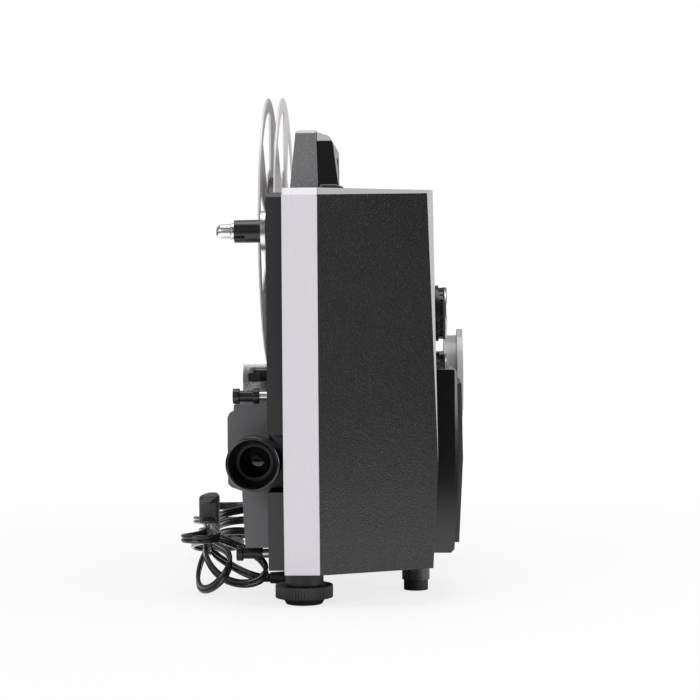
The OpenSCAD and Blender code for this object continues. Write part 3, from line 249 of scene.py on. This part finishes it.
open_z = mm * np.array((0, 19.5, 0, 11.5, 0, -3, 0))[:, None]
lean_x = mm * np.array((-9, 13.5, 0, 35, -4, 1.5, 5))[:, None]
lift_z = mm * np.array((-13, -11, -9.5, -17.5, -5, 0, -0.5))[:, None]
span_steps, lobe_steps, jacket_sides = 8, 48, 28


def spline(points, steps):
    """A curve through the points: each span is the cubic whose slopes are half the chord of
    its neighbours."""
    p = np.vstack([points[:1], points, points[-1:]])
    s = (np.arange(steps) / steps)[:, None]
    a, b, c, d = p[:-3, None], p[1:-2, None], p[2:-1, None], p[3:, None]
    span = 0.5 * (2 * b + (c - a) * s
                  + (2 * a - 5 * b + 4 * c - d) * s**2
                  + (3 * b - a - 3 * c + d) * s**3)
    return np.vstack([span.reshape(-1, 3), points[-1:]])


def hank_lobes(steps):
    """The lobes of the hank, rear and front in turn: y goes out as the 0.7th power of a half
    sine, x and z open as a cosine times the sine's square, lean_x and lift_z come in by that
    square, and z climbs smoothly from one layer of the waist to the next."""
    k = np.arange(hank_passes - 1)[:, None]
    t = (np.arange(steps) / steps)[None]
    rear = k % 2 == 0
    side = np.where(rear, 1, -1)
    swing = np.sin(np.pi * t) ** 2
    layer = hank_rise * (k // 2 - (hank_passes / 2 - 1) / 2)
    step_up = np.where(rear, 0, hank_rise)
    turn = side * np.cos(np.pi * t)
    x = turn * (hank_side + open_x * swing) + lean_x * swing
    y = side * reach_y * np.sin(np.pi * t) ** 0.7
    z = layer + step_up * t**2 * (3 - 2 * t) + (lift_z + turn * open_z) * swing
    return hank_mid + np.stack([x, y, z], axis=-1).reshape(-1, 3)


def grid_piece(name, points, body):
    """A piece from a grid of points, joined into quads from row to row, with each row closed on
    itself."""
    rows, columns = points.shape[:2]
    i = np.arange(rows - 1)[:, None]
    j = np.arange(columns)[None]
    up, on = i + 1, (j + 1) % columns
    corners = (i * columns + j, i * columns + on, up * columns + on, up * columns + j)
    quads = np.stack([np.broadcast_to(c, (i.size, j.size)) for c in corners], axis=-1)
    quads = quads.reshape(-1, 4)
    mesh = bpy.data.meshes.new(name)
    mesh.from_pydata(points.reshape(-1, 3).tolist(), [], quads.tolist())
    mesh.polygons.foreach_set("use_smooth", np.ones(len(quads), bool))
    piece = bpy.data.objects.new(name, mesh)
    bpy.context.scene.collection.objects.link(piece)
    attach(piece, body)
    return piece


def twin_section(sides):
    """Two overlapping circles side by side: at each angle the farther of the two walls, as
    (width, height)."""
    angle = 2 * np.pi * np.arange(sides) / sides
    round_r = lead_t / 2
    offset = lead_w / 2 - round_r
    along = np.abs(np.cos(angle)) * offset
    reach = along + np.sqrt(round_r**2 - (np.sin(angle) * offset) ** 2)
    return np.stack([reach * np.cos(angle), reach * np.sin(angle)], axis=-1)


def swept(path, section, up):
    """A section carried along a path: each copy is square to the path, its first axis as near
    to up as can be."""
    ahead = np.gradient(path, axis=0)
    ahead /= np.linalg.norm(ahead, axis=1, keepdims=True)
    across = up - (ahead @ up)[:, None] * ahead
    across /= np.linalg.norm(across, axis=1, keepdims=True)
    flat = np.cross(ahead, across)
    first, second = section[None, :, :1], section[None, :, 1:]
    return path[:, None] + first * across[:, None] + second * flat[:, None]


last_slot = hank_mid + np.array((-hank_side, 0, hank_rise * (hank_passes / 2 - 1) / 2))
tail = spline(np.vstack([last_slot, tail_points]), span_steps)
lead_path = np.vstack([spline(lead_points, span_steps), hank_lobes(lobe_steps), tail])
lead_skin = swept(lead_path, twin_section(jacket_sides), up=np.array((0, 0, 1.0)))
lead = grid_piece("mains_lead", lead_skin, "chassis")
jacket = Finish("lead_jacket")
jacket_wear = jacket.noise(260, detail=4)
lead.data.materials.append(jacket.surface(
    Base_Color=jacket.shade((0.008, 0.008, 0.009), (0.02, 0.02, 0.021), jacket_wear),
    Roughness=0.08 + 0.1 * jacket_wear,
    Normal=jacket.bump(jacket.noise(900, detail=2), depth=4e-5)))
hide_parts("cord_lead", "cord_hank")


def dress(names, surface, rounding):
    """Puts a material on CAD nodes: the triangles are welded, the edges rounded by that many
    millimetres, and the wide faces kept flat in the shading."""
    for name in names.split():
        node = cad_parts[name]
        faces = node.data.polygons
        node.data.materials.clear()
        node.data.materials.append(surface)
        faces.foreach_set("material_index", np.zeros(len(faces), np.int32))
        faces.foreach_set("use_smooth", np.ones(len(faces), bool))
        weld = node.modifiers.new("weld", "WELD")
        weld.merge_threshold = 1e-6
        if rounding:
            rounded = node.modifiers.new("rounded_edges", "BEVEL")
            rounded.width = rounding / 1000
            rounded.segments = 2
            rounded.limit_method = "ANGLE"
            rounded.angle_limit = math.radians(32)
        flat = node.modifiers.new("flat_faces", "WEIGHTED_NORMAL")
        flat.weight = 60


def moulded(name, dark, light, rough, grain, depth, coat=0.0):
    """Moulded plastic: a fine grain of that many cells a metre in tone, gloss and height, over
    a slow drift of tone."""
    finish = Finish(name)
    drift = finish.noise(18, detail=4)
    fine = finish.noise(grain)
    return finish.surface(
        Base_Color=finish.shade(dark, light, 0.6 * drift + 0.4 * fine),
        Roughness=rough - 0.08 + 0.16 * fine,
        Coat_Weight=coat,
        Normal=finish.bump(fine, depth))


dress("cord_gland", moulded(
    "gland_rubber", dark=(0.008, 0.008, 0.008), light=(0.02, 0.02, 0.02),
    rough=0.5, grain=1500, depth=3e-5), rounding=0.4)
dress("plug", moulded(
    "plug_plastic", dark=(0.018, 0.018, 0.019), light=(0.034, 0.034, 0.035),
    rough=0.42, grain=1800, depth=3e-5), rounding=1.2)
dress("cord_tie", moulded(
    "paper_tie", dark=(0.42, 0.42, 0.4), light=(0.6, 0.6, 0.57),
    rough=0.7, grain=900, depth=6e-5), rounding=0.1)

# Chassis band. A strip of aluminium folded round the edge of the chassis, brushed along its
# length and lacquered; the cast plate inside it carries the mechanism.
band = Finish("brushed_aluminium")
brush = band.noise(60, detail=5, stretch=(90, 1, 1))
fleck = band.noise(240)
dress("trim_band", band.surface(
    Base_Color=band.shade((0.62, 0.595, 0.635), (0.73, 0.7, 0.75), brush),
    Metallic=0.08,
    Roughness=0.42 + 0.2 * brush,
    Normal=band.bump(0.8 * brush + 0.2 * fleck, depth=3e-5)), rounding=0.5)
cast = Finish("cast_plate")
cast_skin = cast.noise(700, detail=4)
dress("chassis_plate", cast.surface(
    Base_Color=cast.shade((0.17, 0.17, 0.18), (0.26, 0.26, 0.27), cast_skin),
    Metallic=0.5,
    Roughness=0.5 + 0.2 * cast_skin,
    Normal=cast.bump(cast_skin, depth=1e-4)), rounding=0.4)

# Film side cover. A dark grey tray of plastic with a fine spark-eroded grain, held to the
# chassis by slotted screws.
dress("film_side_cover", moulded(
    "film_side_plastic", dark=(0.011, 0.0105, 0.0115), light=(0.021, 0.02, 0.022),
    rough=0.42, grain=2200, depth=4e-5), rounding=0.7)
plated = Finish("plated_screw")
plated_marks = plated.noise(900, detail=4)
dress("cover_screws", plated.surface(
    Base_Color=plated.shade((0.36, 0.36, 0.37), (0.55, 0.55, 0.56), plated_marks),
    Metallic=1.0,
    Roughness=0.25 + 0.25 * plated_marks), rounding=0.25)


# Right cover. A black tub of plastic moulded with a leather grain of small rounded cells,
# with painted highlights on their tops, and smooth shiny slants with a painted sheen.
def leather(name, dark, light, rough, cells, depth):
    """Leather grain: rounded cells from the distance to Voronoi points, warped by noise, with a
    painted highlight on their tops. Faces and edges above the feet that slant between the main
    planes are smooth and shiny instead, and painted lighter as a painted sheen."""
    feet_top = 0.03
    finish = Finish(name)
    warp = finish.noise(cells * 0.6, detail=2, out="Color")
    bent = finish.node("VectorMath", {"operation": "MULTIPLY_ADD"},
                       {0: warp, 1: (0.9 / cells,) * 3, 2: finish.place()})
    cell = finish.node("TexVoronoi", {"feature": "SMOOTH_F1"},
                       {"Vector": bent, "Scale": cells, "Smoothness": 0.35}, "Distance")
    dome = 1 - 1.3 * cell
    top = dome * dome
    # Painted highlight: the cube of the dome's square lightens the tops of the cells.
    spark = top * top * top
    drift = finish.noise(14, detail=4)
    facing = finish.node("NewGeometry", {}, {}, "Normal")
    x, y, z = (facing.part(axis) for axis in "XYZ")
    widest = (x * x).larger((y * y).larger(z * z))
    # The slants are smooth and coated, and their colour is lifted as a painted sheen.
    smooth = widest.ramp(slope=-4.0, start=3.4) * (finish.place().part("Z") > feet_top)
    grain = 1 - smooth
    return finish.surface(
        Base_Color=finish.shade(dark, light, (0.9 * spark + 0.1 * drift) * grain + 0.3 * smooth),
        Roughness=rough + (0.18 * cell + 0.08 * drift) * grain - 0.1 * smooth,
        Coat_Weight=0.9 * smooth,
        Specular_IOR_Level=0.6,
        Normal=finish.bump(dome * grain, depth))


dress("right_cover", leather(
    "leather_grain", dark=(0.0015, 0.0014, 0.0018), light=(0.13, 0.124, 0.137),
    rough=0.25, cells=1050, depth=8e-5), rounding=0.8)

# Lamp house. A smooth black box over the lamp with a creased side, and a grey door with
# louvres that pulls straight off on two spigots.
dress("lamp_house_cover", moulded(
    "lamp_house_plastic", dark=(0.006, 0.006, 0.007), light=(0.012, 0.012, 0.013),
    rough=0.12, grain=2600, depth=4e-6), rounding=0.5)
dress("lamp_door", moulded(
    "lamp_door_plastic", dark=(0.03, 0.03, 0.031), light=(0.048, 0.048, 0.05),
    rough=0.38, grain=2400, depth=3e-5), rounding=0.4)

# Handle. A low mound on the top, a smooth black core and a grey half with a leather grain,
# joined down the middle and bridging the finger gap.
dress("handle_plinth", moulded(
    "plinth_plastic", dark=(0.03, 0.03, 0.031), light=(0.05, 0.05, 0.051),
    rough=0.3, grain=2400, depth=4e-5, coat=0.5), rounding=1.0)
dress("handle_core", moulded(
    "core_plastic", dark=(0.006, 0.006, 0.007), light=(0.012, 0.012, 0.013),
    rough=0.2, grain=2600, depth=1e-5, coat=1.0), rounding=1.2)
# The grip's grain carries painted highlights on the cell tops and a painted sheen on its slants.
dress("handle_grip", leather(
    "grip_grain", dark=(0.1, 0.098, 0.102), light=(0.6, 0.59, 0.61),
    rough=0.46, cells=1050, depth=8e-5), rounding=1.0)

# Feet. Rubber pads under the bosses and the chassis, and a levelling foot in front: a black
# knurled wheel on a threaded stem, below a fixed bush.
foot_rubber = moulded(
    "foot_rubber", dark=(0.006, 0.006, 0.006), light=(0.016, 0.016, 0.016),
    rough=0.7, grain=1600, depth=6e-5)
dress("rubber_feet foot_pad", foot_rubber, rounding=0.5)
dress("foot_bush", moulded(
    "bush_plastic", dark=(0.006, 0.006, 0.006), light=(0.012, 0.012, 0.012),
    rough=0.5, grain=2200, depth=3e-5), rounding=0.4)
dress("foot_wheel", moulded(
    "wheel_plastic", dark=(0.006, 0.006, 0.006), light=(0.014, 0.014, 0.014),
    rough=0.34, grain=2200, depth=2e-5), rounding=0.15)
stem = Finish("threaded_steel")
thread = stem.node("TexWave", {"bands_direction": "Z"},
                   {"Vector": stem.place(), "Scale": 100.0, "Distortion": 0.0})
dress("foot_stem", stem.surface(
    Base_Color=stem.shade((0.3, 0.3, 0.31), (0.5, 0.5, 0.52), thread),
    Metallic=1.0,
    Roughness=0.3 + 0.1 * stem.noise(500),
    Normal=stem.bump(thread, depth=8e-4)), rounding=0.2)

# Lens housing. A satin grey moulding on the film side, with a round collar for the lens and a
# hollow back over the gate and the mirror.
dress("lens_housing", moulded(
    "housing_plastic", dark=(0.09, 0.09, 0.096), light=(0.13, 0.13, 0.138),
    rough=0.4, grain=2200, depth=3e-5), rounding=0.7)

# Lens. A sliding barrel with two coated elements, and a glossy black hood that turns on it,
# ribbed and duller inside against stray light.
hood_low, hood_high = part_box("lens_hood")
hood_x, hood_z = ((hood_low[a] + hood_high[a]) / 2 for a in (0, 2))
hood = Finish("hood_plastic")
outward = hood.place(stretch=(1, 0, 1), shift=(-hood_x, 0, -hood_z))
hood_normal = hood.node("NewGeometry", {}, {}, "Normal")
facing_out = hood.node("VectorMath", {"operation": "DOT_PRODUCT"},
                       {0: outward, 1: hood_normal}, "Value")
inside = facing_out < -0.002
baffle = hood.node("TexWave", {"bands_direction": "Y"},
                   {"Vector": hood.place(), "Scale": 90.0, "Distortion": 0.0})
dress("lens_hood", hood.surface(
    Base_Color=hood.shade((0.006, 0.006, 0.007), (0.002, 0.002, 0.002), inside),
    Roughness=0.14 + 0.06 * hood.noise(2600) + 0.16 * inside,
    Coat_Weight=0.5 - 0.5 * inside,
    Normal=hood.bump(baffle * inside, depth=1e-4)), rounding=0.25)
dress("lens_barrel", moulded(
    "barrel_plastic", dark=(0.003, 0.003, 0.003), light=(0.006, 0.006, 0.006),
    rough=0.5, grain=2400, depth=2e-5), rounding=0.2)
glass = Finish("coated_glass")
haze = glass.noise(120)
dress("lens_elements", glass.surface(
    Base_Color=glass.shade((0.1, 0.1, 0.12), (0.2, 0.2, 0.22), haze),
    Roughness=0.02 + 0.03 * haze,
    Transmission_Weight=1.0,
    IOR=1.52), rounding=0)

# Film gate. Polished steel plates and a spring leaf behind the lens, the claw that pulls the
# film, a bright guide above, and the mirror that turns the lamp's beam forward.
steel = Finish("polished_steel")
polish = steel.noise(300, detail=4, stretch=(1, 1, 12))
dress("gate_plate pressure_plate pressure_spring claw film_guide", steel.surface(
    Base_Color=steel.shade((0.5, 0.5, 0.51), (0.68, 0.68, 0.69), polish),
    Metallic=1.0,
    Roughness=0.16 + 0.2 * polish,
    Normal=steel.bump(polish, depth=1e-5)), rounding=0.15)
silvered = Finish("silvered_glass")
dress("mirror", silvered.surface(
    Base_Color=silvered.shade((0.74, 0.77, 0.8), (0.84, 0.86, 0.88), silvered.noise(60)),
    Metallic=1.0,
    Roughness=0.03 + 0.04 * silvered.noise(200)), rounding=0.2)

# Spindles. Bright turned shafts with a disc behind and a rounded nose, in black sleeves with
# three key slots. The rollers and the threading lever are of the same black plastic.
bright = Finish("turned_steel")
turning = bright.noise(500, detail=4, stretch=(8, 1, 1))
turned_steel = bright.surface(
    Base_Color=bright.shade((0.58, 0.58, 0.59), (0.75, 0.75, 0.76), turning),
    Metallic=1.0,
    Roughness=0.22 + 0.16 * turning,
    Normal=bright.bump(turning, depth=1e-5))
dress("supply_shaft takeup_shaft roller_pins main_shaft motor_rotor", turned_steel, rounding=0.2)
dress("supply_sleeve takeup_sleeve upper_roller lower_roller threading_lever", moulded(
    "sleeve_plastic", dark=(0.007, 0.007, 0.008), light=(0.015, 0.015, 0.016),
    rough=0.28, grain=2400, depth=2e-5), rounding=0.25)

# Reel. Two pale grey plastic flanges with windows, on the back spindle, and the dark film
# wound between them.
dress("reel_inner_flange reel_outer_flange", moulded(
    "reel_plastic", dark=(0.62, 0.6, 0.6), light=(0.72, 0.7, 0.7),
    rough=0.34, grain=1600, depth=3e-5), rounding=0.2)
film = Finish("wound_film")
reel_low, reel_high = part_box("wound_film")
to_centre = [-(reel_low[a] + reel_high[a]) / 2 for a in range(3)]
turns = film.node("TexWave", {"wave_type": "RINGS", "rings_direction": "X"}, {
    "Vector": film.place(shift=to_centre), "Scale": 900.0, "Distortion": 1.5, "Detail": 2.0})
dress("wound_film", film.surface(
    Base_Color=film.shade((0.01, 0.008, 0.007), (0.035, 0.026, 0.022), turns),
    Roughness=0.22 + 0.2 * turns,
    Normal=film.bump(turns, depth=8e-5)), rounding=0.1)

# Drive. A steel plate on posts, a motor with a fan, turned pulleys, rubber belts and a black
# three-bladed shutter.
zinc = Finish("zinc_plate")
spangle = zinc.noise(160, detail=4)
dress("mechanism_plate lamp_bracket motor", zinc.surface(
    Base_Color=zinc.shade((0.34, 0.34, 0.32), (0.5, 0.5, 0.47), spangle),
    Metallic=0.9,
    Roughness=0.3 + 0.25 * spangle), rounding=0.3)
dress("main_pulley takeup_pulley knob_bushes", turned_steel, rounding=0.2)
dress("drive_belt takeup_belt", foot_rubber, rounding=0)
dress("shutter", moulded(
    "shutter_paint", dark=(0.008, 0.008, 0.008), light=(0.014, 0.014, 0.014),
    rough=0.6, grain=1800, depth=2e-5), rounding=0.1)
dress("fan", moulded(
    "fan_plastic", dark=(0.42, 0.41, 0.37), light=(0.55, 0.54, 0.5),
    rough=0.45, grain=1800, depth=3e-5), rounding=0.2)

# Lamp and mains parts. A glass dish lamp in a ceramic socket, a varnished transformer and a
# brown laminate switch, all inside the right cover.
dish = Finish("dichroic_glass")
coating = dish.noise(90)
dress("lamp", dish.surface(
    Base_Color=dish.shade((0.6, 0.62, 0.72), (0.8, 0.8, 0.86), coating),
    Metallic=0.7,
    Roughness=0.06 + 0.1 * coating), rounding=0.1)
dress("lamp_socket", moulded(
    "socket_ceramic", dark=(0.6, 0.57, 0.5), light=(0.72, 0.7, 0.63),
    rough=0.4, grain=1400, depth=4e-5), rounding=0.5)
dress("transformer", moulded(
    "varnished_core", dark=(0.09, 0.07, 0.05), light=(0.16, 0.13, 0.1),
    rough=0.36, grain=1400, depth=5e-5, coat=0.3), rounding=0.5)
dress("switch_block", moulded(
    "brown_laminate", dark=(0.07, 0.045, 0.02), light=(0.11, 0.075, 0.04),
    rough=0.4, grain=1400, depth=3e-5), rounding=0.4)

# Controls. Two ribbed black knobs with spun aluminium caps, a large pale rotary dial, and the
# white marks printed round them on the side of the cover.
dress("speed_knob framing_knob", moulded(
    "knob_plastic", dark=(0.008, 0.008, 0.009), light=(0.016, 0.016, 0.017),
    rough=0.3, grain=2400, depth=2e-5), rounding=0.2)
dress("function_dial", moulded(
    "dial_plastic", dark=(0.5, 0.49, 0.5), light=(0.6, 0.59, 0.6),
    rough=0.32, grain=1800, depth=2e-5, coat=0.2), rounding=0.5)


def turned_piece(name, profile, centre, body, sides=64):
    """A profile of (x, radius) pairs turned about the X axis through a centre: y and z go round
    as sine and cosine."""
    angle = 2 * np.pi * np.arange(sides) / sides
    along, radius = np.array(profile).T[:, :, None]
    x = np.broadcast_to(along, (len(profile), sides))
    y = centre[1] + radius * np.sin(angle)
    z = centre[2] + radius * np.cos(angle)
    return grid_piece(name, np.stack([x, y, z], axis=-1), body)


def knob_cap(knob):
    """A spun cap pressed over a knob: a short wall, a rounded edge, a raised rim and a dished
    middle, with a black index line on its upper half."""
    inset, skirt, sheet, edge = 0.0012, 0.0020, 0.0003, 0.0004
    rim_up, dish_up, pinhole = 0.0003, 0.0001, 1e-5
    line_half, line_from = 0.0006, 0.35
    low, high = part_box(knob)
    face, wall = high[0], (high[2] - low[2]) / 2 - inset
    centre = np.array([face, (low[1] + high[1]) / 2, (low[2] + high[2]) / 2])
    profile = [(face - skirt, wall - sheet), (face - skirt, wall), (face, wall),
               (face + rim_up, wall - edge), (face + rim_up, 0.74 * wall),
               (face + dish_up, 0.7 * wall), (face + dish_up, pinhole)]
    cap = turned_piece(knob + "_cap", profile, centre, knob)
    spun = Finish(knob + "_aluminium")
    from_centre = spun.place(shift=-centre)
    rings = spun.node("TexWave", {"wave_type": "RINGS", "rings_direction": "X"},
                      {"Vector": from_centre, "Scale": 700.0, "Distortion": 0.6})
    across, upward = from_centre.part("Y"), from_centre.part("Z")
    line = (abs(across) < line_half) * (upward > line_from * wall)
    metal = spun.shade((0.4, 0.4, 0.41), (0.52, 0.52, 0.53), rings)
    cap.data.materials.append(spun.surface(
        Base_Color=spun.shade(metal, (0.01, 0.01, 0.01), line),
        Metallic=0.85 - 0.85 * line,
        Roughness=0.26 + 0.12 * rings,
        Normal=spun.bump(rings, depth=2e-5)))


knob_cap("speed_knob")
knob_cap("framing_knob")

wall_lean, crease_z = 0.0135, 0.0788
ink_lift, ink_thick = 0.00012, 0.0001
print_ink = moulded(
    "white_print", dark=(0.5, 0.5, 0.49), light=(0.6, 0.6, 0.59),
    rough=0.55, grain=3000, depth=1e-5)


def printed_marks(name, around, start, end, width, degrees):
    """Radial dashes round a control: each is a short rectangle turned to its angle and laid on
    the leaning wall, which moves in by the same share of each rise above the crease."""
    low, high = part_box(around)
    centre_y, centre_z = (low[1] + high[1]) / 2, (low[2] + high[2]) / 2
    turned = np.radians(degrees)[:, None]
    out = np.array([start, end, end, start])
    side = width / 2 * np.array([-1, -1, 1, 1])
    y = centre_y + out * np.sin(turned) + side * np.cos(turned)
    z = centre_z + out * np.cos(turned) - side * np.sin(turned)
    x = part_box("right_cover")[1][0] - wall_lean * (z - crease_z) + ink_lift
    corners = np.stack([x, y, z], axis=-1).reshape(-1, 3)
    dashes = np.arange(len(corners)).reshape(-1, 4)[:, ::-1]
    mesh = bpy.data.meshes.new(name)
    mesh.from_pydata(corners.tolist(), [], dashes.tolist())
    mesh.materials.append(print_ink)
    marks = bpy.data.objects.new(name, mesh)
    bpy.context.scene.collection.objects.link(marks)
    ink_layer = marks.modifiers.new("ink", "SOLIDIFY")
    ink_layer.thickness = ink_thick
    ink_layer.offset = 0
    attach(marks, "chassis")


printed_marks("speed_marks", "speed_knob", start=0.0182, end=0.0212, width=0.0007,
              degrees=np.linspace(-135, 135, 13))
printed_marks("framing_marks", "framing_knob", start=0.0122, end=0.0142, width=0.0007,
              degrees=np.array([-120.0, 0, 120]))
printed_marks("dial_marks", "function_dial", start=0.0300, end=0.0345, width=0.0010,
              degrees=np.array([-120.0, -60, 0, 60, 120]))
